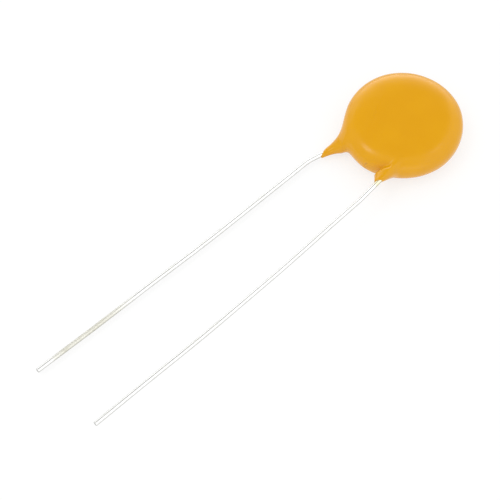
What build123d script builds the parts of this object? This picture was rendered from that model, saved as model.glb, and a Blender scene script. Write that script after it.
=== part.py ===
from build123d import *
import math
import os
from dataclasses import dataclass

# Metal-oxide disc varistor with two stiff radial leads, dip-coated in epoxy. Millimetres.
# It lies on its rear face: Z = 0 is the resting plane, and the Z axis passes through the
# middle of the disc. The leads run towards -X, the front one on the -Y side.

# Ceramic disc
CERAMIC_DIAMETER = 13.5
CERAMIC_THICKNESS = 1.9
CERAMIC_CHAMFER = 0.15

# Silver electrodes: the bare ring of ceramic left round each one is the margin
ELECTRODE_THICKNESS = 0.02
ELECTRODE_MARGIN = 0.75

# Lead wire
WIRE_DIAMETER = 0.6
INNER_END_X = 2.0  # where both wires stop on the electrodes
TIP_REACH = 49.4  # along X, from the coat's rim to the sheared tips
SHOULDER_RADIUS = 6.0  # bend just outside each neck
BOW_RADIUS = 400.0  # gentle bend further along

# Solder, from past the wire's inner end to just inside the electrode's edge
SOLDER_FILM = 0.04  # under the wire
SOLDER_WIDTH = 1.5
SOLDER_HEIGHT = 0.42
SOLDER_TAPER = 35.0  # slope of its sides, from upright
SOLDER_LAP = 0.6  # past the wire's inner end
SOLDER_MARGIN = 0.5  # from the electrode's edge

# Epoxy coat
RIM_COAT = 0.85  # round the ceramic's rim
WIRE_COAT = 0.59  # over the wires, on both faces
EDGE_ROUNDING = 2.6  # how far the rounded edge reaches in from the rim

# Necks of coat that run down the wires
NECK_ROOT_WIDTH = 4.8
NECK_FACE_GAP = 0.09  # between the neck's root and the coat's flat face
NECK_FILM = 0.08  # coat left on the wire where the neck ends
NECK_SECTIONS = 6
NECK_POWER = 1.3  # how quickly the neck widens towards its root


@dataclass(frozen=True)
class Lead:
    """Plan of one wire: Y at its bends, and how far beyond the rim each of them lies."""

    inner_y: float
    shoulder_y: float
    bow_y: float
    tip_y: float
    shoulder_reach: float
    bow_reach: float
    neck_reach: float


REAR_LEAD = Lead(
    inner_y=1.78, shoulder_y=4.9, bow_y=4.9, tip_y=5.66,
    shoulder_reach=4.6, bow_reach=19.9, neck_reach=2.9,
)
FRONT_LEAD = Lead(
    inner_y=-3.3, shoulder_y=-4.75, bow_y=-5.55, tip_y=-5.45,
    shoulder_reach=4.9, bow_reach=26.4, neck_reach=1.9,
)

# Worked out from the sizes above
COAT_RADIUS = CERAMIC_DIAMETER / 2 + RIM_COAT
FLAT_RADIUS = COAT_RADIUS - EDGE_ROUNDING
ELECTRODE_RADIUS = CERAMIC_DIAMETER / 2 - ELECTRODE_MARGIN
WIRE_OFFSET = CERAMIC_THICKNESS / 2 + ELECTRODE_THICKNESS + SOLDER_FILM + WIRE_DIAMETER / 2
MIDDLE_Z = WIRE_OFFSET + WIRE_DIAMETER / 2 + WIRE_COAT
FACE_TO_WIRE = WIRE_DIAMETER / 2 + WIRE_COAT


def wire_points(lead):
    """Corners of the wire's route in plan, from its inner end to its tip."""
    return [
        (INNER_END_X, lead.inner_y),
        (-COAT_RADIUS - lead.shoulder_reach, lead.shoulder_y),
        (-COAT_RADIUS - lead.bow_reach, lead.bow_y),
        (-COAT_RADIUS - TIP_REACH, lead.tip_y),
    ]


def inner_run(lead):
    """Start of the wire's first straight run in plan, and its unit direction."""
    (x0, y0), (x1, y1) = wire_points(lead)[:2]
    length = math.hypot(x1 - x0, y1 - y0)
    return (x0, y0), ((x1 - x0) / length, (y1 - y0) / length)


def distance_to_radius(lead, radius):
    """Distance along the first run at which the wire is that far from the disc's axis."""
    (x0, y0), (dx, dy) = inner_run(lead)
    along = x0 * dx + y0 * dy
    return -along + math.sqrt(along**2 - x0**2 - y0**2 + radius**2)


def run_plane(lead, distance, z):
    """Plane across the first run at that distance, its X level and its Y up or down."""
    (x0, y0), (dx, dy) = inner_run(lead)
    origin = (x0 + dx * distance, y0 + dy * distance, z)
    return Plane(origin=origin, x_dir=(-dy, dx, 0), z_dir=(dx, dy, 0))


def make_ceramic():
    """Sintered disc with broken edges."""
    disc = Pos(0, 0, MIDDLE_Z) * Cylinder(CERAMIC_DIAMETER / 2, CERAMIC_THICKNESS)
    return chamfer(disc.edges().filter_by(GeomType.CIRCLE), CERAMIC_CHAMFER)


def make_electrode(side):
    """Thin silver disc on the front face (side 1) or the rear face (side -1)."""
    z = MIDDLE_Z + side * (CERAMIC_THICKNESS + ELECTRODE_THICKNESS) / 2
    return Pos(0, 0, z) * Cylinder(ELECTRODE_RADIUS, ELECTRODE_THICKNESS)


def make_wire(lead, side):
    """Round wire along straight runs joined by tangent arcs, all at one height."""
    z = MIDDLE_Z + side * WIRE_OFFSET
    route = [(x, y, z) for x, y in wire_points(lead)]
    path = FilletPolyline(*route, radius=[SHOULDER_RADIUS, BOW_RADIUS])
    return sweep(run_plane(lead, 0, z) * Circle(WIRE_DIAMETER / 2), path=path)


def make_solder(lead, side, wire):
    """Tapered bed of solder along the wire, from the electrode's surface up round it."""
    surface = MIDDLE_Z + side * (CERAMIC_THICKNESS / 2 + ELECTRODE_THICKNESS)
    (x0, y0), (dx, dy) = inner_run(lead)
    first = -SOLDER_LAP
    last = distance_to_radius(lead, ELECTRODE_RADIUS - SOLDER_MARGIN)
    middle = (first + last) / 2
    base = Plane(
        origin=(x0 + dx * middle, y0 + dy * middle, surface),
        x_dir=(dx, dy, 0),
        z_dir=(0, 0, side),
    )
    outline = base * SlotOverall(last - first, SOLDER_WIDTH)
    return extrude(outline, SOLDER_HEIGHT, taper=SOLDER_TAPER) - wire


def make_pillow():
    """Coated disc: flat faces and a rim rounded to a quarter ellipse above and below."""
    thickness = 2 * MIDDLE_Z
    with BuildSketch(Plane.XZ) as section:
        with BuildLine():
            Line((0, 0), (FLAT_RADIUS, 0))
            EllipticalCenterArc(
                (FLAT_RADIUS, MIDDLE_Z), EDGE_ROUNDING, MIDDLE_Z, start_angle=-90, arc_size=180
            )
            Line((FLAT_RADIUS, thickness), (0, thickness))
            Line((0, thickness), (0, 0))
        make_face()
    return revolve(section.sketch, axis=Axis.Z)


def make_neck(lead, side):
    """Taper of coat round the wire, flattened where it leaves the disc, round at its end."""
    z = MIDDLE_Z + side * WIRE_OFFSET
    root = distance_to_radius(lead, FLAT_RADIUS)
    (x0, _), (dx, _) = inner_run(lead)
    end = (-COAT_RADIUS - lead.neck_reach - x0) / dx
    end_radius = WIRE_DIAMETER / 2 + NECK_FILM
    sections = []
    for step in range(NECK_SECTIONS):
        share = 1 - step / (NECK_SECTIONS - 1)
        widening = share**NECK_POWER
        width = end_radius + (NECK_ROOT_WIDTH / 2 - end_radius) * widening
        height = end_radius + (FACE_TO_WIRE - NECK_FACE_GAP - end_radius) * widening
        plane = run_plane(lead, root + (end - root) * (1 - share), z)
        sections.append(plane * Ellipse(width, height))
    return loft(sections)


def make_coat(inner_pieces):
    """One closed skin of epoxy: the pillow and both necks, less everything inside them."""
    body = make_pillow() + make_neck(REAR_LEAD, -1) + make_neck(FRONT_LEAD, 1)
    for piece in inner_pieces:
        body = body - piece
    return body


def build():
    """All pieces by node name."""
    nodes = {
        "ceramic_disc": make_ceramic(),
        "front_electrode": make_electrode(1),
        "rear_electrode": make_electrode(-1),
        "front_lead": make_wire(FRONT_LEAD, 1),
        "rear_lead": make_wire(REAR_LEAD, -1),
    }
    nodes["front_solder"] = make_solder(FRONT_LEAD, 1, nodes["front_lead"])
    nodes["rear_solder"] = make_solder(REAR_LEAD, -1, nodes["rear_lead"])
    nodes["epoxy_coating"] = make_coat(list(nodes.values()))
    return nodes


def main():
    """Write one STEP file for each piece."""
    os.makedirs("parts", exist_ok=True)
    for name, shape in build().items():
        export_step(shape, f"parts/{name}.step")


main()
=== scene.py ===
import logging
import math
from dataclasses import dataclass
from enum import Enum

import bpy
import numpy as np
from mathutils import Matrix, Vector


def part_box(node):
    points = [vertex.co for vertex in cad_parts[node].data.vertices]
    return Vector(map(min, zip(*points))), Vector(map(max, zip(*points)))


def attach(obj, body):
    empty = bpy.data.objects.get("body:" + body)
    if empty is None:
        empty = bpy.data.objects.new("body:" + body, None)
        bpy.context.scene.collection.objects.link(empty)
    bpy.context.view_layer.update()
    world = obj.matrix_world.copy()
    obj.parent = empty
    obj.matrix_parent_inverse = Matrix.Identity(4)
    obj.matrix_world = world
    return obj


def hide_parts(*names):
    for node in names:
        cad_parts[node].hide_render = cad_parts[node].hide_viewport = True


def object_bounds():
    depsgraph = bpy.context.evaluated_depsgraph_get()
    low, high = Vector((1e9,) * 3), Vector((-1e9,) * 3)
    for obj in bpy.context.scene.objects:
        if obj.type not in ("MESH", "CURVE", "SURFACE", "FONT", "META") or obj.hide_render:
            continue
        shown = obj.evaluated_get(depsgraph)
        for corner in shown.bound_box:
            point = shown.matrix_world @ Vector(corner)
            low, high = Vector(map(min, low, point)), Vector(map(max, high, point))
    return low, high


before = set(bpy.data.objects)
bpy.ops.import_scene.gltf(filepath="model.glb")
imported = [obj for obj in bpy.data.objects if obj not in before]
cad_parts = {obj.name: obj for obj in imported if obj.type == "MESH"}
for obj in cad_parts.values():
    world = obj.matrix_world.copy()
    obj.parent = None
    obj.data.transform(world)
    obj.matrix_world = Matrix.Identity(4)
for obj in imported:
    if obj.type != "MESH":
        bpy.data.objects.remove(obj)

CAD_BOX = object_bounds()
MM = 0.001
BODY = "root"
LOG = logging.getLogger("varistor")

Colour = tuple[float, float, float]
Point2 = tuple[float, float]


class Slot(Enum):
    """Names of the record's material slots."""

    COAT = "epoxy_coat"
    WIRE = "tinned_wire"


class Side(Enum):
    """Which face a lead is on; the value is its side in Y, and the way up to the middle plane."""

    FRONT = -1
    REAR = 1


# ---------------- small helpers


def linear(red: int, green: int, blue: int) -> Colour:
    """Turn an 8-bit display colour into the linear colour that shaders take.

    Args:
        red: Red from 0 to 255.
        green: Green from 0 to 255.
        blue: Blue from 0 to 255.

    Returns:
        The linear colour, each part from 0 to 1.
    """
    return tuple(
        c / 12.92 if c <= 0.04045 else ((c + 0.055) / 1.055) ** 2.4
        for c in (red / 255, green / 255, blue / 255)
    )


def smoothstep(low: float, high: float, x: np.ndarray) -> np.ndarray:
    """Rise from 0 at low to 1 at high with level ends: t squared times (3 - 2t).

    Args:
        low: Where the rise starts; it may be above high, and then the step falls.
        high: Where the rise ends.
        x: Values to look up.

    Returns:
        The step at each value.
    """
    t = np.clip((x - low) / (high - low), 0.0, 1.0)
    return t * t * (3.0 - 2.0 * t)


def smooth_union(first: np.ndarray, second: np.ndarray, blend: float) -> np.ndarray:
    """Join two distance fields with a fillet: the lower one, less a parabola where they are near.

    Args:
        first: Distances to one shape, negative inside.
        second: Distances to the other shape.
        blend: Difference of distance over which they run into each other.

    Returns:
        Distances to the joined shape.
    """
    share = np.clip(0.5 + 0.5 * (second - first) / blend, 0.0, 1.0)
    return second + (first - second) * share - blend * share * (1.0 - share)


# ---------------- meshes


def ring_mesh(name: str, rings: np.ndarray, uv: np.ndarray | None = None) -> bpy.types.Object:
    """Skin a stack of closed rings, with a pole at each end, into one closed surface.

    Each cell of the grid is a quad between ring i and ring i + 1; the first and last rings are
    closed by a fan of triangles to their middle. Faces are turned outwards by the sign of the
    enclosed volume.

    Args:
        name: Name of the new piece.
        rings: Points in millimetres, shaped (rings, points round, 3).
        uv: Optional map values, shaped (rings, points round + 1, 2).

    Returns:
        The new object, linked to the scene, with its place in its mesh.
    """
    count, around, _ = rings.shape
    poles = np.stack([rings[0].mean(axis=0), rings[-1].mean(axis=0)])
    vertices = np.concatenate([rings.reshape(-1, 3), poles]) * MM
    row = np.arange(count - 1)[:, None] * around
    here = np.arange(around)[None, :]
    after = (here + 1) % around
    quads = np.stack([row + here, row + after, row + around + after, row + around + here], axis=-1)
    quads = quads.reshape(-1, 4)
    here, after = here[0], after[0]
    last = (count - 1) * around
    first_fan = np.stack([after, here, np.full(around, count * around)], axis=-1)
    last_fan = np.stack([last + here, last + after, np.full(around, count * around + 1)], axis=-1)
    fans = np.concatenate([first_fan, last_fan])

    halves = np.concatenate([quads[:, [0, 1, 2]], quads[:, [0, 2, 3]], fans])
    corners = vertices[halves]
    volume = np.einsum("ij,ij->", corners[:, 0], np.cross(corners[:, 1], corners[:, 2]))
    inside_out = volume < 0

    mesh = bpy.data.meshes.new(name)
    mesh.vertices.add(len(vertices))
    mesh.vertices.foreach_set("co", vertices.ravel())
    loops = np.concatenate([quads.ravel(), fans.ravel()])
    sizes = np.concatenate([np.full(len(quads), 4), np.full(len(fans), 3)])
    starts = np.concatenate([[0], np.cumsum(sizes)[:-1]])
    mesh.loops.add(len(loops))
    mesh.loops.foreach_set("vertex_index", loops)
    mesh.polygons.add(len(sizes))
    mesh.polygons.foreach_set("loop_start", starts)
    mesh.polygons.foreach_set("loop_total", sizes)
    mesh.polygons.foreach_set("use_smooth", np.ones(len(sizes), dtype=bool))
    if uv is not None:
        mesh.uv_layers.new(name="wrap").data.foreach_set("uv", grid_uv(uv, around).ravel())
    mesh.update(calc_edges=True)
    if inside_out:
        mesh.flip_normals()
    mesh.validate()
    piece = bpy.data.objects.new(name, mesh)
    bpy.context.scene.collection.objects.link(piece)
    return piece


def grid_uv(uv: np.ndarray, around: int) -> np.ndarray:
    """Lay map values out in the order of ring_mesh's face corners.

    Args:
        uv: Map values, shaped (rings, points round + 1, 2), the last column closing the seam.
        around: Points round each ring.

    Returns:
        One map value for each face corner.
    """
    low, high = uv[:-1], uv[1:]
    quads = np.stack([low[:, :-1], low[:, 1:], high[:, 1:], high[:, :-1]], axis=2).reshape(-1, 2)
    first, last = uv[0], uv[-1]
    first_pole = np.broadcast_to(first.mean(axis=0), (around, 2))
    last_pole = np.broadcast_to(last.mean(axis=0), (around, 2))
    first_fan = np.stack([first[1:], first[:-1], first_pole], axis=1).reshape(-1, 2)
    last_fan = np.stack([last[:-1], last[1:], last_pole], axis=1).reshape(-1, 2)
    return np.concatenate([quads, first_fan, last_fan])


# ---------------- shader maths


class Signal:
    """One output of a shader node, with arithmetic that adds Math nodes."""

    def __init__(self, shader: "Shader", socket: bpy.types.NodeSocket) -> None:
        """Wrap an output socket.

        Args:
            shader: The tree that the socket belongs to.
            socket: The output socket.
        """
        self.shader = shader
        self.socket = socket

    def _math(self, operation: str, first: object, second: object) -> "Signal":
        """Add a Math node.

        Args:
            operation: Name of the operation.
            first: First operand, a number or a Signal.
            second: Second operand.

        Returns:
            The node's result.
        """
        return self.shader.node("ShaderNodeMath", {"operation": operation}, {0: first, 1: second}).out()

    def __add__(self, other: object) -> "Signal":
        """Sum."""
        return self._math("ADD", self, other)

    __radd__ = __add__

    def __mul__(self, other: object) -> "Signal":
        """Product."""
        return self._math("MULTIPLY", self, other)

    __rmul__ = __mul__

    def __sub__(self, other: object) -> "Signal":
        """Difference."""
        return self._math("SUBTRACT", self, other)

    def __rsub__(self, other: object) -> "Signal":
        """Difference, with this signal taken away."""
        return self._math("SUBTRACT", other, self)

    def above(self, low: float, high: float) -> "Signal":
        """Rise smoothly from 0 where the signal is low to 1 where it is high.

        Args:
            low: Signal that gives 0.
            high: Signal that gives 1.

        Returns:
            The step.
        """
        return self.shader.node(
            "ShaderNodeMapRange",
            {"interpolation_type": "SMOOTHSTEP"},
            {"Value": self, "From Min": low, "From Max": high},
        ).out()


class Step:
    """A shader node just made, from which outputs are taken."""

    def __init__(self, shader: "Shader", made: bpy.types.Node) -> None:
        """Keep the node and its tree.

        Args:
            shader: The tree.
            made: The node.
        """
        self.shader = shader
        self.made = made

    def out(self, name: str | int = 0) -> Signal:
        """Give an output of the node by its name or number."""
        return Signal(self.shader, self.made.outputs[name])


class Shader:
    """A node tree that is emptied and built up again."""

    def __init__(self, owner: bpy.types.Material | bpy.types.World) -> None:
        """Switch the owner to nodes and clear them.

        Args:
            owner: The material or world that holds the tree.
        """
        owner.use_nodes = True
        self.tree = owner.node_tree
        self.tree.nodes.clear()

    def node(
        self,
        kind: str,
        settings: dict[str, object] | None = None,
        sockets: dict[str | int, object] | None = None,
    ) -> Step:
        """Add one node of any type.

        Args:
            kind: The node's type.
            settings: Properties set before the inputs.
            sockets: Inputs by name or number, each a Signal to link or a value to set.

        Returns:
            The new node.
        """
        made = self.tree.nodes.new(kind)
        for key, value in (settings or {}).items():
            setattr(made, key, value)
        for key, value in (sockets or {}).items():
            if isinstance(value, Signal):
                self.tree.links.new(value.socket, made.inputs[key])
            else:
                made.inputs[key].default_value = value
        return Step(self, made)

    def position(self) -> Signal:
        """Object coordinates in millimetres."""
        place = self.node("ShaderNodeTexCoord").out("Object")
        return self.node(
            "ShaderNodeVectorMath", {"operation": "SCALE"}, {0: place, "Scale": 1.0 / MM}
        ).out()

    def noise(self, where: Signal, scale: float, detail: float = 2.0, rough: float = 0.5) -> Signal:
        """Smooth noise about 0.5.

        Args:
            where: Coordinates.
            scale: Cells for each unit of the coordinates.
            detail: Octaves.
            rough: Weight of each octave against the one before.

        Returns:
            The noise.
        """
        return self.node(
            "ShaderNodeTexNoise",
            None,
            {"Vector": where, "Scale": scale, "Detail": detail, "Roughness": rough},
        ).out(0)

    def mix(self, share: Signal, low: Colour | Signal, high: Colour | Signal) -> Signal:
        """Mix two colours.

        Args:
            share: 0 gives low and 1 gives high.
            low: A colour, or a Signal that carries one.
            high: The other.

        Returns:
            The mixed colour.
        """
        def filled(colour: object) -> object:
            """Give a plain colour its fourth part."""
            return colour if isinstance(colour, Signal) else (*colour, 1.0)

        return self.node(
            "ShaderNodeMix",
            {"data_type": "RGBA"},
            {0: share, 6: filled(low), 7: filled(high)},
        ).out(2)

    def bump(self, height: Signal, distance: float) -> Signal:
        """Turn a height into a normal.

        Args:
            height: Heights about 0 to 1.
            distance: What a height of 1 stands for, in millimetres.

        Returns:
            The normal.
        """
        return self.node("ShaderNodeBump", None, {"Height": height, "Distance": distance * MM}).out()

    def surface(self, sockets: dict[str | int, object]) -> None:
        """End the tree in a Principled shader.

        Args:
            sockets: Its inputs, as in node.
        """
        end = self.node("ShaderNodeBsdfPrincipled", None, sockets)
        self.node("ShaderNodeOutputMaterial", None, {"Surface": end.out()})


# ---------------- finishes


class Finish:
    """A surface finish that makes its own material."""

    label = "finish"

    def material(self) -> bpy.types.Material:
        """Make the material and let the finish fill its tree."""
        made = bpy.data.materials.new(self.label)
        self.fill(Shader(made))
        return made

    def fill(self, shader: Shader) -> None:
        """Build the shader; each finish has its own."""
        raise NotImplementedError


@dataclass(frozen=True)
class EpoxyFinish(Finish):
    """Glossy pigmented epoxy, dipped: slow shifts of tone, fine pigment and faint orange peel."""

    label = "orange_epoxy"
    tone: Colour = linear(230, 165, 2)
    deep_tone: Colour = linear(228, 162, 0)
    pigment_tone: Colour = linear(234, 172, 16)
    gloss: float = 0.4
    roughness: float = 0.21
    roughness_shift: float = 0.05
    peel_height: float = 0.0025
    ripple_height: float = 0.007

    def fill(self, shader: Shader) -> None:
        """Mix three tones by noise and raise a low peel over a slow ripple.

        Args:
            shader: The tree to build.
        """
        where = shader.position()
        drift = shader.noise(where, 0.28, 2.0)
        grain = shader.noise(where, 14.0, 2.0, 0.6)
        cloud = shader.noise(where, 1.3, 3.0)
        colour = shader.mix(drift.above(0.35, 0.7), self.deep_tone, self.tone)
        colour = shader.mix(grain.above(0.56, 0.78) * 0.12, colour, self.pigment_tone)
        peel = shader.noise(where, 3.2, 1.0)
        ripple = shader.noise(where, 0.55, 1.0)
        normal = shader.bump(peel * self.peel_height + ripple * self.ripple_height, 1.0)
        shader.surface(
            {
                "Base Color": colour,
                "Roughness": cloud * self.roughness_shift + self.roughness - self.roughness_shift / 2,
                "IOR": 1.5,
                "Specular IOR Level": self.gloss,
                "Normal": normal,
            }
        )


@dataclass(frozen=True)
class WireFinish(Finish):
    """Bright tinned copper: faint drawn lines and duller patches, under a grey-tinted coat that darkens the
    wire towards its edges and cut end, which is painted shade standing in for the dark reflections at its
    outlines.

    Near the coat a wash of resin stains the wire; stain_x gives where it starts and ends. A
    stretch of the rear wire is tarnished, between the two fades that its fields give.
    """

    label = "tinned_copper"
    bright: Colour = linear(252, 252, 250)
    dull: Colour = linear(236, 236, 230)
    stain: Colour = linear(236, 228, 186)
    stain_x: tuple[float, float] = (-9.0, -9.6)
    tarnish: Colour = linear(218, 216, 203)
    tarnish_roughness: float = 0.3
    tarnish_near: tuple[float, float] = (-41.0, -46.0)
    tarnish_far: tuple[float, float] = (-55.5, -53.0)
    # Grey tint of the wire's clear coat: painted shade that darkens the edges and cut end, in place of dark
    # reflections.
    edge_shade_film: float = 0.84
    roughness: float = 0.24
    patch_roughness: float = 0.12
    line_height: float = 0.00015
    line_stretch: tuple[float, float, float] = (0.05, 22.0, 0.0)
    patch_scale: float = 0.7

    def fill(self, shader: Shader) -> None:
        """Stretch noise along the wire's own map for the lines, and cloud it for the patches.

        Args:
            shader: The tree to build.
        """
        wrap = shader.node("ShaderNodeUVMap", {"uv_map": "wrap"}).out()
        drawn = shader.node(
            "ShaderNodeVectorMath", {"operation": "MULTIPLY"}, {0: wrap, 1: self.line_stretch}
        ).out()
        lines = shader.noise(drawn, 1.0, 3.0, 0.6)
        where = shader.position()
        patches = shader.noise(where, self.patch_scale, 3.0).above(0.42, 0.72)
        place = shader.node("ShaderNodeSeparateXYZ", None, {0: where})
        along = place.out("X")
        ragged = along + shader.noise(where, 1.6, 2.0) * 0.8
        tarnished = along.above(*self.tarnish_near) * along.above(*self.tarnish_far)
        tarnished = tarnished * place.out("Y").above(0.0, 1.0)
        stained = ragged.above(self.stain_x[1], self.stain_x[0])
        tone = shader.mix(patches * 0.6 + lines.above(0.55, 0.8) * 0.3, self.bright, self.dull)
        tone = shader.mix(tarnished * (0.75 + patches * 0.25), tone, self.tarnish)
        shader.surface(
            {
                "Base Color": shader.mix(stained * 0.8, tone, self.stain),
                "Metallic": 1.0,
                "Roughness": patches * self.patch_roughness
                + tarnished * self.tarnish_roughness
                + self.roughness,
                # Painted shade: the grey-tinted coat darkens the wire where it is seen edge-on, standing in
                # for the dark outlines that reflections give.
                "Coat Weight": 1.0,
                "Coat IOR": 1.02,
                "Coat Tint": (self.edge_shade_film, self.edge_shade_film, self.edge_shade_film, 1.0),
                "Normal": shader.bump(lines, self.line_height),
            }
        )


@dataclass(frozen=True)
class SilverFinish(Finish):
    """Fired silver paste: matt, pale and faintly grained."""

    label = "fired_silver"
    pale: Colour = linear(222, 221, 214)
    shade: Colour = linear(196, 194, 186)
    roughness: float = 0.5
    grain_height: float = 0.004

    def fill(self, shader: Shader) -> None:
        """Grain the tone and the surface with the same noise.

        Args:
            shader: The tree to build.
        """
        where = shader.position()
        grain = shader.noise(where, 9.0, 3.0, 0.6)
        cloud = shader.noise(where, 0.8, 2.0)
        shader.surface(
            {
                "Base Color": shader.mix(cloud.above(0.3, 0.7), self.shade, self.pale),
                "Metallic": 0.9,
                "Roughness": grain * 0.2 + self.roughness,
                "Normal": shader.bump(grain, self.grain_height),
            }
        )


@dataclass(frozen=True)
class SolderFinish(Finish):
    """Tin solder: satin, with a frosted, lightly wrinkled skin."""

    label = "tin_solder"
    bright: Colour = linear(206, 208, 210)
    frost: Colour = linear(168, 170, 172)
    roughness: float = 0.3
    wrinkle_height: float = 0.02

    def fill(self, shader: Shader) -> None:
        """Frost the tone in patches and wrinkle the surface.

        Args:
            shader: The tree to build.
        """
        where = shader.position()
        frost = shader.noise(where, 2.4, 3.0).above(0.4, 0.65)
        wrinkles = shader.noise(where, 5.0, 2.0)
        shader.surface(
            {
                "Base Color": shader.mix(frost, self.bright, self.frost),
                "Metallic": 1.0,
                "Roughness": frost * 0.25 + self.roughness,
                "Normal": shader.bump(wrinkles, self.wrinkle_height),
            }
        )


@dataclass(frozen=True)
class CeramicFinish(Finish):
    """Sintered zinc oxide: matt dark grey-green with pale and dark grains."""

    label = "sintered_ceramic"
    tone: Colour = linear(74, 78, 72)
    grain_tone: Colour = linear(112, 116, 106)
    roughness: float = 0.78
    grain_height: float = 0.008

    def fill(self, shader: Shader) -> None:
        """Speckle the tone with fine grains and roughen the surface with them.

        Args:
            shader: The tree to build.
        """
        where = shader.position()
        grains = shader.node("ShaderNodeTexVoronoi", None, {"Vector": where, "Scale": 9.0}).out("Distance")
        cloud = shader.noise(where, 1.2, 3.0)
        shader.surface(
            {
                "Base Color": shader.mix(grains.above(0.2, 0.7) * cloud, self.tone, self.grain_tone),
                "Roughness": cloud * 0.15 + self.roughness,
                "Normal": shader.bump(grains, self.grain_height),
            }
        )


@dataclass(frozen=True)
class FloorFinish(Finish):
    """Plain white studio floor, lifted to white where it is seen or mirrored, shadows kept."""

    label = "studio_floor"
    tone: Colour = (0.96, 0.96, 0.96)
    shade: Colour = (0.94, 0.94, 0.94)
    lift: float = 0.7
    glow: float = 1.04

    def fill(self, shader: Shader) -> None:
        """Mix matt white with plain white light for camera, glossy and transmitted rays.

        Args:
            shader: The tree to build.
        """
        cloud = shader.noise(shader.position(), 0.05, 2.0)
        matt = shader.node(
            "ShaderNodeBsdfDiffuse", None, {"Color": shader.mix(cloud, self.shade, self.tone)}
        ).out()
        white = shader.node(
            "ShaderNodeEmission", None, {"Color": (1.0, 1.0, 1.0, 1.0), "Strength": self.glow}
        ).out()
        rays = shader.node("ShaderNodeLightPath")
        seen = rays.out("Is Camera Ray") + rays.out("Is Glossy Ray") + rays.out("Is Transmission Ray")
        lifted = shader.node("ShaderNodeMixShader", None, {0: seen * self.lift, 1: matt, 2: white}).out()
        shader.node("ShaderNodeOutputMaterial", None, {"Surface": lifted})


# ---------------- wires


@dataclass(frozen=True)
class WireRoute:
    """Plan of one wire: straight runs between corners, joined by tangent arcs, at one height."""

    node: str
    side: Side
    corners: tuple[Point2, ...]
    bend_radii: tuple[float, ...] = (6.0, 400.0)

    def height(self) -> float:
        """Height of the wire's axis above the floor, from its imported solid."""
        low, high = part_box(self.node)
        return (low.z + high.z) / 2 / MM

    def radius(self) -> float:
        """Radius of the wire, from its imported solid."""
        low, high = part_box(self.node)
        return (high.z - low.z) / 2 / MM

    def direction(self) -> np.ndarray:
        """Unit direction in plan of the first run, from the disc outwards."""
        run = np.subtract(self.corners[1], self.corners[0])
        return run / np.linalg.norm(run)

    def outward(self) -> np.ndarray:
        """Unit vector in plan across the first run, away from the other wire."""
        dx, dy = self.direction()
        return np.array([-dy, dx]) * (1.0 if dx * self.side.value > 0 else -1.0)

    def path(self, step: float) -> tuple[np.ndarray, np.ndarray]:
        """Walk the route at about even steps.

        A straight run is a line between the ends of its arcs. An arc of radius r at a corner that
        turns by angle a starts and ends r tan(a / 2) from the corner, and its points stand at r
        from its centre, turned evenly from one end to the other.

        Args:
            step: Distance between points, in millimetres.

        Returns:
            Points in plan and unit tangents, each shaped (points, 2).
        """
        corners = np.array(self.corners)
        runs = np.diff(corners, axis=0)
        headings = np.arctan2(runs[:, 1], runs[:, 0])
        points, angles = [], []
        start = corners[0]
        for index, radius in enumerate(self.bend_radii):
            turn = (headings[index + 1] - headings[index] + np.pi) % (2 * np.pi) - np.pi
            cut = radius * math.tan(abs(turn) / 2)
            ahead = np.array([math.cos(headings[index]), math.sin(headings[index])])
            stop = corners[index + 1] - ahead * cut
            count = max(2, int(np.linalg.norm(stop - start) / step))
            points.append(start + (stop - start) * np.linspace(0, 1, count, endpoint=False)[:, None])
            angles.append(np.full(count, headings[index]))
            sense = math.copysign(1.0, turn)
            centre = stop + sense * radius * np.array([-ahead[1], ahead[0]])
            count = max(6, int(abs(turn) * radius / step))
            swing = headings[index] + turn * np.linspace(0, 1, count, endpoint=False)
            arm = np.stack([np.sin(swing), -np.cos(swing)], axis=-1)
            points.append(centre + sense * radius * arm)
            angles.append(swing)
            start = centre + sense * radius * np.array(
                [math.sin(headings[index + 1]), -math.cos(headings[index + 1])]
            )
        count = max(2, int(np.linalg.norm(corners[-1] - start) / step))
        points.append(start + (corners[-1] - start) * np.linspace(0, 1, count)[:, None])
        angles.append(np.full(count, headings[-1]))
        heading = np.concatenate(angles)
        return np.concatenate(points), np.stack([np.cos(heading), np.sin(heading)], axis=-1)


REAR_ROUTE = WireRoute("rear_lead", Side.REAR, ((2.0, 1.78), (-12.2, 4.9), (-27.5, 4.9), (-57.0, 5.66)))
FRONT_ROUTE = WireRoute(
    "front_lead", Side.FRONT, ((2.0, -3.3), (-12.5, -4.75), (-34.0, -5.55), (-57.36, -5.45))
)


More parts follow.
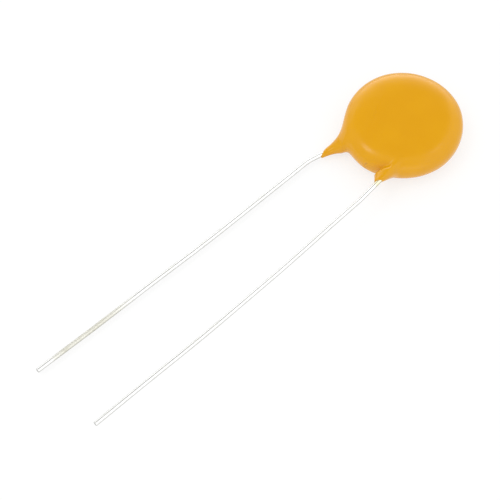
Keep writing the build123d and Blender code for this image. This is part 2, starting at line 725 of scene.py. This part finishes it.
@dataclass(frozen=True)
class TinnedLead:
    """One lead: a round wire with a faint wander and a square tip with its edge broken."""

    route: WireRoute
    finish: Finish = WireFinish()
    step: float = 0.2
    around: int = 56
    tip_edge: float = 0.07
    tip_steps: int = 8
    wander: float = 0.018
    wander_from: tuple[float, float] = (14.0, 22.0)
    wander_turns: tuple[float, float] = (0.37, 0.29)
    wander_phase: float = 1.7

    def build(self) -> bpy.types.Object:
        """Carry a circle along the route and round its edge at the tip.

        The ring at distance s is the centre plus the radius times (cos a) across and (sin a) up.
        Over the last stretch the radius falls as a quarter circle does. Well clear of the coat the
        centre wanders by a slow sine wave.

        Returns:
            The wire.
        """
        points, tangents = self.route.path(self.step)
        length = np.concatenate([[0], np.cumsum(np.linalg.norm(np.diff(points, axis=0), axis=1))])
        body = length < length[-1] - self.tip_edge
        sweep = np.linspace(0, np.pi / 2, self.tip_steps)
        along = np.concatenate([length[body], length[-1] - self.tip_edge * (1 - np.sin(sweep))])
        radius = self.route.radius() - self.tip_edge * np.concatenate([0 * length[body], 1 - np.cos(sweep)])
        centre = np.stack([np.interp(along, length, points[:, k]) for k in (0, 1)], axis=-1)
        tangent = np.stack([np.interp(along, length, tangents[:, k]) for k in (0, 1)], axis=-1)
        across = np.stack([-tangent[:, 1], tangent[:, 0]], axis=-1)
        phase = self.wander_phase * self.route.side.value
        free = self.wander * smoothstep(*self.wander_from, along)
        drift = free * np.sin(along * self.wander_turns[0] + phase)
        lift = free * np.sin(along * self.wander_turns[1] + 2.0 * phase)

        angle = np.linspace(0, 2 * np.pi, self.around, endpoint=False)
        sideways = radius[:, None] * np.cos(angle) + drift[:, None]
        rings = np.empty((len(along), self.around, 3))
        rings[..., :2] = centre[:, None, :] + across[:, None, :] * sideways[..., None]
        rings[..., 2] = radius[:, None] * np.sin(angle) + lift[:, None] + self.route.height()
        turn = np.linspace(0, 1, self.around + 1)
        uv = np.stack(np.broadcast_arrays(along[:, None], turn[None, :]), axis=-1)
        return ring_mesh(self.route.node + "_wire", rings, uv)

    def dress(self, piece: bpy.types.Object) -> None:
        """Give the wire its finish and its body, and hide the imported wire.

        Args:
            piece: The wire.
        """
        finish_piece(piece, self.finish)
        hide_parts(self.route.node)


# ---------------- coat


@dataclass(frozen=True)
class Neck:
    """Taper of coat that runs down one wire from the disc.

    Distances along the neck are measured inwards from where the coat ends on the wire.
    """

    route: WireRoute
    end_x: float
    flare_length: float
    flare_width: float
    flare_height: float
    flare_power: float
    blend: float
    skin: float = 0.07
    slant: float = 0.0
    swing: float = 0.0
    sink: float = 0.0
    root_from: float = 3.6
    root_to: float = 6.0
    tuck: float = 0.12
    lip: float = 0.12
    seam: float = 0.15
    flare_limit: float = 1.1
    root_taper: float = 0.6
    softening: float = 0.05

    def end_along(self) -> float:
        """Distance from the wire's first corner to the end of the coat."""
        return (self.end_x - self.route.corners[0][0]) / self.route.direction()[0]

    def local(self, points: np.ndarray) -> tuple[np.ndarray, np.ndarray, np.ndarray]:
        """Split points into along, across (positive outwards) and up from the wire's axis.

        Args:
            points: Points in millimetres, shaped (..., 3).

        Returns:
            The three distances.
        """
        plan = points[..., :2] - np.array(self.route.corners[0])
        along = plan @ self.route.direction()
        across = plan @ self.route.outward()
        return along, across, points[..., 2] - self.route.height()

    def flare(self, inward: np.ndarray) -> np.ndarray:
        """Share of the full flare: a power of the distance inwards, held past the root."""
        return np.clip(inward / self.flare_length, 0, self.flare_limit) ** self.flare_power

    def sleeve(self, inward: np.ndarray) -> np.ndarray:
        """Radius of the skin on the wire: from just under its surface up to the skin's thickness."""
        rise = 1 - np.exp(-np.clip(inward, 0, None) / self.lip)
        return self.route.radius() - self.tuck + (self.tuck + self.skin) * rise

    def half_sizes(self, inward: np.ndarray) -> tuple[np.ndarray, np.ndarray]:
        """Half-width and half-height of the web of coat at a distance inwards from its end.

        Both start as the sleeve and flare towards the disc. Inside the disc they close again.

        Args:
            inward: Distances inwards from the coat's end.

        Returns:
            Half-width and half-height.
        """
        base = self.sleeve(inward)
        close = 1 - self.root_taper * smoothstep(self.root_from, self.root_to, inward)
        flare = self.flare(inward)
        return (base + self.flare_width * flare) * close, (base + self.flare_height * flare) * close

    def middle(self, along: np.ndarray) -> tuple[np.ndarray, np.ndarray]:
        """Middle of the web of coat at a distance along the wire.

        Args:
            along: Distances from the wire's first corner.

        Returns:
            Points in plan, and heights.
        """
        flare = self.flare(self.end_along() - along)
        plan = np.array(self.route.corners[0]) + along[:, None] * self.route.direction()
        plan = plan + (self.swing * flare)[:, None] * self.route.outward()
        return plan, self.route.height() + self.route.side.value * self.sink * flare

    def distance(self, points: np.ndarray) -> np.ndarray:
        """Rough distance to the neck's surface: a sleeve on the wire joined to an elliptical cone.

        The cone's middle swings outwards and sinks towards the disc's middle plane as it flares,
        and a square cut inside the disc ends both.

        Args:
            points: Points in millimetres, shaped (..., 3).

        Returns:
            Distances, negative inside.
        """
        along, across, up = self.local(points)
        inward = self.end_along() - along - self.slant * across
        width, height = self.half_sizes(inward)
        flare = self.flare(inward)
        sleeve = np.hypot(across, up) - self.sleeve(inward)
        across = across - self.swing * flare
        up = up - self.route.side.value * self.sink * flare
        level = (across / width) ** 2 + (up / height) ** 2 - 1
        slope = 2 * np.sqrt((across / width**2) ** 2 + (up / height**2) ** 2)
        web = level / (slope + self.softening)
        return np.maximum(smooth_union(sleeve, web, self.seam), inward - self.root_to)


@dataclass(frozen=True)
class Swell:
    """Place on the rim where the coat is a little fuller: a bell curve of the heading."""

    heading: float
    amount: float
    width: float

    def at(self, heading: np.ndarray) -> np.ndarray:
        """Extra radius at each heading."""
        off = (heading - self.heading + np.pi) % (2 * np.pi) - np.pi
        return self.amount * np.exp(-((off / self.width) ** 2))


@dataclass(frozen=True)
class DippedCoat:
    """The orange skin: a pillow over the disc that runs out into two necks, as one surface.

    The surface is a closed profile carried along a U-shaped path: up the rear neck, round the
    disc like the leaves of a fan whose hinge stands between the necks, and down the front neck.
    """

    node: str = "epoxy_coating"
    finish: Finish = EpoxyFinish()
    rear: Neck = Neck(REAR_ROUTE, -10.1, 3.2, 0.72, 0.62, 1.5, 1.9, slant=1.35, swing=0.28, sink=0.35)
    front: Neck = Neck(
        FRONT_ROUTE, -9.0, 1.9, 0.55, 0.72, 1.1, 0.45, skin=0.1, slant=1.1, swing=-0.2, sink=0.7,
        root_from=2.2, root_to=4.2,
    )
    swells: tuple[Swell, ...] = (
        Swell(math.radians(178), 0.48, math.radians(31)),
        Swell(math.radians(-25), 0.08, math.radians(20)),
    )
    hinge: Point2 = (-8.5, 0.2)
    rim_power: float = 6.0
    rear_rim_power: float = 8.0
    face_power: float = 2.1
    waviness: float = 0.006
    around: int = 112
    neck_rings: int = 100
    turn_rings: int = 110
    fan_rings: int = 200
    fan_angle: float = math.radians(48)
    free_angle: float = math.radians(68)
    tip_margin: float = 0.9
    tip_crowding: float = 1.15
    softening: float = 0.02
    wave_fade: tuple[float, float] = (10.0, 7.5)
    least_chord: float = 0.6
    reach_scale: float = 2.6
    reach_spare: float = 0.6
    reach_limits: tuple[float, float] = (0.9, 9.5)
    march_steps: int = 40
    halvings: int = 22

    def radius(self) -> float:
        """Radius of the coated disc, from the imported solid."""
        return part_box(self.node)[1].x / MM

    def half_thickness(self) -> float:
        """Half the coated thickness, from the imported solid."""
        low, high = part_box(self.node)
        return (high.z - low.z) / 2 / MM

    def pillow(self, points: np.ndarray) -> np.ndarray:
        """Rough distance to the coated disc.

        The level set is (r / R) to one power plus |z / b| to another, less 1: nearly flat faces
        and a full round rim. Its value over its slope is the distance. The radius swells a little,
        mostly between the necks, where the dip draws the coat down.

        Args:
            points: Points in millimetres, shaped (..., 3).

        Returns:
            Distances, negative inside.
        """
        half = self.half_thickness()
        heading = np.arctan2(points[..., 1], points[..., 0])
        radius = self.radius() + sum(swell.at(heading) for swell in self.swells)
        out = np.hypot(points[..., 0], points[..., 1]) / radius
        up = (points[..., 2] - half) / half
        rim_power = np.where(up > 0, self.rim_power, self.rear_rim_power)
        level = out**rim_power + np.abs(up) ** self.face_power - 1
        slope_out = rim_power * out ** (rim_power - 1) / radius
        slope_up = self.face_power * np.abs(up) ** (self.face_power - 1) / half
        return level / (np.hypot(slope_out, slope_up) + self.softening)

    def waves(self, points: np.ndarray) -> np.ndarray:
        """Slow unevenness of a dipped skin: a sum of three slanting sine waves.

        Args:
            points: Points in millimetres, shaped (..., 3).

        Returns:
            Heights about 0.
        """
        x, y, z = points[..., 0], points[..., 1], points[..., 2]
        return self.waviness * (
            np.sin(1.1 * x + 0.7 * y + 0.4)
            + 0.7 * np.sin(-0.8 * x + 1.5 * y + 1.9 * z)
            + 0.5 * np.sin(2.1 * x + 1.3 * y - 1.2 * z + 2.0)
        )

    def distance(self, points: np.ndarray) -> np.ndarray:
        """Rough distance to the whole skin: pillow and necks run together, less the waves.

        Args:
            points: Points in millimetres, shaped (..., 3).

        Returns:
            Distances, negative inside.
        """
        body = smooth_union(self.pillow(points), self.rear.distance(points), self.rear.blend)
        body = smooth_union(body, self.front.distance(points), self.front.blend)
        out = np.hypot(points[..., 0], points[..., 1])
        return body - self.waves(points) * smoothstep(*self.wave_fade, out)

    def neck_sections(self, neck: Neck) -> dict[str, np.ndarray]:
        """Sections square across a neck, from just past its tip to the hinge's plane.

        Args:
            neck: The neck.

        Returns:
            Centres, headings, heights and half-sizes of the sections.
        """
        start, direction = np.array(neck.route.corners[0]), neck.route.direction()
        outward = neck.route.outward()
        tip = neck.end_along() + self.tip_margin
        joint = (np.array(self.hinge) - start) @ direction
        share = np.linspace(0, 1, self.neck_rings, endpoint=False) ** self.tip_crowding
        along = tip + (joint - tip) * share
        width, height = neck.half_sizes(neck.end_along() - along)
        middle, level = neck.middle(along)
        return {
            "centre": middle,
            "heading": np.broadcast_to(np.arctan2(outward[1], outward[0]), along.shape),
            "height": level,
            "width": width,
            "rise": height,
        }

    def fan_sections(self, neck: Neck, headings: np.ndarray) -> dict[str, np.ndarray]:
        """Sections that hinge round the point between the necks, on one neck's side.

        Near the neck a section is centred on the middle of the neck's web, and further round on
        the middle of the chord that it cuts from the disc, which is the foot of the square from
        the disc's axis; a smooth step joins the two.

        Args:
            neck: The neck on this side.
            headings: Angles of the sections, in radians.

        Returns:
            Centres, headings, heights and half-sizes of the sections.
        """
        hinge = np.array(self.hinge)
        ray = np.stack([np.cos(headings), np.sin(headings)], axis=-1)
        direction = neck.route.direction()
        offset = np.array(neck.route.corners[0]) - hinge
        cross = ray[:, 0] * direction[1] - ray[:, 1] * direction[0]
        share = smoothstep(self.fan_angle, self.free_angle, np.abs(headings))
        cross = np.where(share > 0, cross, 1.0)
        to_axis = (offset[0] * direction[1] - offset[1] * direction[0]) / cross
        to_chord = -(ray @ hinge)
        square = ray[:, 0] * hinge[1] - ray[:, 1] * hinge[0]
        chord = np.sqrt(np.clip(self.radius() ** 2 - square**2, self.least_chord, None))
        along = (hinge + ray * to_axis[:, None] - np.array(neck.route.corners[0])) @ direction
        middle, level = neck.middle(along)
        to_middle = np.einsum("ij,ij->i", middle - hinge, ray)
        reach = to_chord + (to_middle - to_chord) * share
        width, height = neck.half_sizes(neck.end_along() - along)
        half = self.half_thickness()
        return {
            "centre": hinge + ray * reach[:, None],
            "heading": headings,
            "height": half + (level - half) * share,
            "width": chord + (width - chord) * share,
            "rise": half + (height - half) * share,
        }

    def sections(self) -> dict[str, np.ndarray]:
        """All sections in order, from the rear neck's tip round the disc to the front neck's."""
        rear_tip = self.neck_sections(self.rear)
        front_tip = self.neck_sections(self.front)
        rear_turn = np.linspace(rear_tip["heading"][0], self.fan_angle, self.turn_rings, endpoint=False)
        sweep = np.linspace(self.fan_angle, -self.fan_angle, self.fan_rings, endpoint=False)
        front_turn = np.linspace(-self.fan_angle, front_tip["heading"][0], self.turn_rings)
        parts = [
            rear_tip,
            self.fan_sections(self.rear, rear_turn),
            self.fan_sections(self.rear, sweep[sweep >= 0]),
            self.fan_sections(self.front, sweep[sweep < 0]),
            self.fan_sections(self.front, front_turn),
            {key: value[::-1] for key, value in front_tip.items()},
        ]
        return {key: np.concatenate([part[key] for part in parts]) for key in rear_tip}

    def rings(self) -> np.ndarray:
        """Find the skin along rays from each section's centre.

        In a section at heading h, ray a points (cos a) times the half-width along the heading and
        (sin a) times the half-height up. The first place where the distance turns positive is
        boxed in by even steps and then halved down.

        Returns:
            Points shaped (sections, points round, 3).
        """
        cut = self.sections()
        angle = np.linspace(0, 2 * np.pi, self.around, endpoint=False)
        level = cut["width"][:, None] * np.cos(angle)
        up = cut["rise"][:, None] * np.sin(angle)
        size = np.hypot(level, up)
        level, up = level / size, up / size
        ray = np.stack(
            [
                level * np.cos(cut["heading"])[:, None],
                level * np.sin(cut["heading"])[:, None],
                up,
            ],
            axis=-1,
        )
        centre = np.concatenate([cut["centre"], cut["height"][:, None]], axis=-1)[:, None, :]
        near, far = np.zeros(size.shape), np.zeros(size.shape)
        reach = np.clip(size * self.reach_scale + self.reach_spare, *self.reach_limits)
        found = np.zeros(size.shape, dtype=bool)
        for step in range(1, self.march_steps + 1):
            trial = reach * step / self.march_steps
            outside = self.distance(centre + ray * trial[..., None]) > 0
            newly = outside & ~found
            far = np.where(newly, trial, far)
            near = np.where(newly | found, near, trial)
            found |= outside
        far = np.where(found, far, reach)
        for _ in range(self.halvings):
            middle = (near + far) / 2
            outside = self.distance(centre + ray * middle[..., None]) > 0
            far = np.where(outside, middle, far)
            near = np.where(outside, near, middle)
        points = centre + ray * far[..., None]
        points[..., 2] = np.maximum(points[..., 2], 0.0)
        return points

    def build(self) -> bpy.types.Object:
        """Make the skin as one closed surface."""
        return ring_mesh("epoxy_skin", self.rings())

    def dress(self, piece: bpy.types.Object) -> None:
        """Give the skin its finish and its body, and hide the imported coat.

        Args:
            piece: The skin.
        """
        finish_piece(piece, self.finish)
        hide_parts(self.node)


# ---------------- inner pieces


@dataclass(frozen=True)
class InnerStack:
    """The pieces sealed in the coat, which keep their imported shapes."""

    ceramic: Finish = CeramicFinish()
    silver: Finish = SilverFinish()
    solder: Finish = SolderFinish()

    def dress(self) -> None:
        """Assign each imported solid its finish."""
        chosen = {
            "ceramic_disc": self.ceramic.material(),
            "front_electrode": self.silver.material(),
            "front_solder": self.solder.material(),
        }
        chosen["rear_electrode"] = chosen["front_electrode"]
        chosen["rear_solder"] = chosen["front_solder"]
        for node, material in chosen.items():
            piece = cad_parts[node]
            piece.data.materials.clear()
            piece.data.materials.append(material)
            LOG.info("%s keeps its solid and takes %s", node, material.name)


def finish_piece(piece: bpy.types.Object, finish: Finish) -> None:
    """Give a new piece its material and body.

    Args:
        piece: The piece.
        finish: What it is finished in.
    """
    piece.data.materials.append(finish.material())
    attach(piece, BODY)
    LOG.info("%s has %d faces", piece.name, len(piece.data.polygons))


# ---------------- studio


@dataclass(frozen=True)
class Viewpoint:
    """Camera that looks down on the part."""

    azimuth: float = -44.2
    elevation: float = 60.3
    roll: float = 1.16
    distance: float = 300.0
    frame_width: float = 62.66
    aim: tuple[float, float, float] = (-26.21, 0.81, 0.0)
    sensor_width: float = 36.0
    clip_start: float = 0.01

    def place(self) -> None:
        """Make the camera: its axes are right, up and back, turned about back by the roll."""
        turn, tilt = math.radians(self.azimuth), math.radians(self.elevation)
        back = Vector((math.sin(turn) * math.cos(tilt), -math.cos(turn) * math.cos(tilt), math.sin(tilt)))
        right = Vector((math.cos(turn), math.sin(turn), 0.0))
        up = back.cross(right)
        spin = math.radians(self.roll)
        across = right * math.cos(spin) + up * math.sin(spin)
        upward = up * math.cos(spin) - right * math.sin(spin)
        axes = Matrix((across, upward, back)).transposed().to_4x4()
        data = bpy.data.cameras.new("camera")
        data.sensor_width = self.sensor_width
        data.lens = data.sensor_width * self.distance / self.frame_width
        data.clip_start = self.clip_start
        camera = bpy.data.objects.new("camera", data)
        stand = (Vector(self.aim) + back * self.distance) * MM
        camera.matrix_world = Matrix.Translation(stand) @ axes
        bpy.context.scene.collection.objects.link(camera)
        bpy.context.scene.camera = camera


@dataclass(frozen=True)
class Softbox:
    """One soft lamp, aimed at the disc, its long side lying along a given direction."""

    name: str
    toward: tuple[float, float, float]
    along: tuple[float, float, float]
    distance: float
    length: float
    width: float
    radiance: float
    aim: tuple[float, float, float] = (0.0, 0.0, 0.0)

    def place(self) -> bpy.types.Object:
        """Make the lamp: its power is its radiance times pi times its area."""
        data = bpy.data.lights.new(self.name, "AREA")
        data.shape = "RECTANGLE"
        data.size, data.size_y = self.length * MM, self.width * MM
        data.energy = self.radiance * math.pi * data.size * data.size_y
        lamp = bpy.data.objects.new(self.name, data)
        way = Vector(self.toward).normalized()
        side = Vector(self.along)
        side = (side - way * side.dot(way)).normalized()
        turned = Matrix((side, way.cross(side), way)).transposed().to_4x4()
        lamp.matrix_world = Matrix.Translation((Vector(self.aim) + way * self.distance) * MM) @ turned
        lamp.visible_camera = False
        bpy.context.scene.collection.objects.link(lamp)
        return lamp


@dataclass(frozen=True)
class Studio:
    """White floor, a pale tent of light, two soft lamps and two that only the wires take."""

    floor_finish: Finish = FloorFinish()
    floor_size: float = 1600.0
    floor_gap: float = 0.02
    fill_light: float = 0.98
    gap_light: float = 0.1
    dome_light: float = 0.4
    far_light: float = 1.3
    horizon_light: float = 1.7
    side_light: float = 0.5
    near_light: float = 0.9
    gap: tuple[float, float, float] = (0.345, 0.355, 0.869)
    far: tuple[float, float, float] = (0.697, 0.717, 0.0)
    side: tuple[float, float, float] = (0.717, -0.697, 0.0)
    gap_edge: tuple[float, float] = (0.95, 0.75)
    far_rise: tuple[float, float] = (0.58, 0.88)
    horizon_rise: tuple[float, float] = (0.82, 1.0)
    side_rise: tuple[float, float] = (0.36, 0.48)
    near_rise: tuple[float, float] = (-0.7, -0.95)
    back_softbox: Softbox = Softbox(
        "back_softbox", (-0.36, 0.30, 0.885), (-0.485, 0.013, -0.224), 600.0, 180.0, 150.0, 2.9
    )
    side_softbox: Softbox = Softbox(
        "side_softbox", (0.36, -0.30, 0.88), (0.29, 0.18, -0.06), 600.0, 190.0, 50.0, 1.0
    )
    wire_softbox: Softbox = Softbox(
        "wire_softbox", (0.345, -0.44, 0.83), (1.0, 0.0, 0.0), 150.0, 400.0, 320.0, 0.8, (-30.0, 0.0, 0.0)
    )
    wire_backlight: Softbox = Softbox(
        "wire_backlight", (-0.6, 0.45, 0.6), (0.6, 0.8, 0.0), 150.0, 300.0, 220.0, 0.5, (-30.0, 0.0, 0.0)
    )

    def place(self, wires: list[bpy.types.Object]) -> None:
        """Lay the floor, hang the lamps and light the world.

        Args:
            wires: The pieces that the two wire lamps light, and nothing else.
        """
        half = self.floor_size / 2
        mesh = bpy.data.meshes.new("studio_floor")
        level = CAD_BOX[0][2] / MM - self.floor_gap
        corners = [(-half, -half, level), (half, -half, level), (half, half, level), (-half, half, level)]
        mesh.from_pydata([[c * MM for c in corner] for corner in corners], [], [(0, 1, 2, 3)])
        mesh.materials.append(self.floor_finish.material())
        floor = bpy.data.objects.new("studio_floor", mesh)
        bpy.context.scene.collection.objects.link(floor)
        self.back_softbox.place()
        self.side_softbox.place()
        lit = bpy.data.collections.new("lit_wires")
        for wire in wires:
            lit.objects.link(wire)
        for lamp in (self.wire_softbox, self.wire_backlight):
            lamp.place().light_linking.receiver_collection = lit
        self.light_world()
        bpy.context.scene.view_settings.view_transform = "Standard"

    def light_world(self) -> None:
        """Light the world: white to the camera, even on the part, and a dim-topped tent in gloss.

        In gloss the tent brightens towards the far horizon, in two smooth rises, once more
        towards the right-hand side, and again low down on the near side. A dim gap stays where the
        disc's face mirrors the tent.
        """
        world = bpy.data.worlds.new("studio_tent")
        bpy.context.scene.world = world
        shader = Shader(world)
        rays = shader.node("ShaderNodeLightPath")
        clear = rays.out("Is Camera Ray") + rays.out("Is Transmission Ray")
        way = shader.node("ShaderNodeTexCoord").out("Generated")

        def facing(direction: tuple[float, float, float]) -> Signal:
            """Cosine of the angle between the ray and a direction."""
            return shader.node(
                "ShaderNodeVectorMath", {"operation": "DOT_PRODUCT"}, {0: way, 1: direction}
            ).out("Value")

        far, side = facing(self.far), facing(self.side)
        tent = far.above(*self.far_rise) * self.far_light
        tent = tent + far.above(*self.horizon_rise) * self.horizon_light
        tent = tent + side.above(*self.side_rise) * self.side_light
        tent = tent + far.above(*self.near_rise) * self.near_light
        tent = tent + facing(self.gap).above(*self.gap_edge) * self.dome_light + self.gap_light
        level = rays.out("Is Glossy Ray") * (tent - self.fill_light) + self.fill_light
        level = clear * (1.0 - level) + level
        white = (1.0, 1.0, 1.0, 1.0)
        light = shader.node("ShaderNodeBackground", None, {"Color": white, "Strength": level})
        shader.node("ShaderNodeOutputWorld", None, {"Surface": light.out()})


def main() -> None:
    """Build and dress each sub-assembly in order, then place the studio and the camera."""
    logging.basicConfig(level=logging.INFO, format="%(name)s: %(message)s")
    Viewpoint().place()
    coat = DippedCoat()
    coat.dress(coat.build())
    wires = []
    for lead in (TinnedLead(REAR_ROUTE), TinnedLead(FRONT_ROUTE)):
        wires.append(lead.build())
        lead.dress(wires[-1])
    InnerStack().dress()
    Studio().place(wires)


if __name__ == "__main__":
    main()
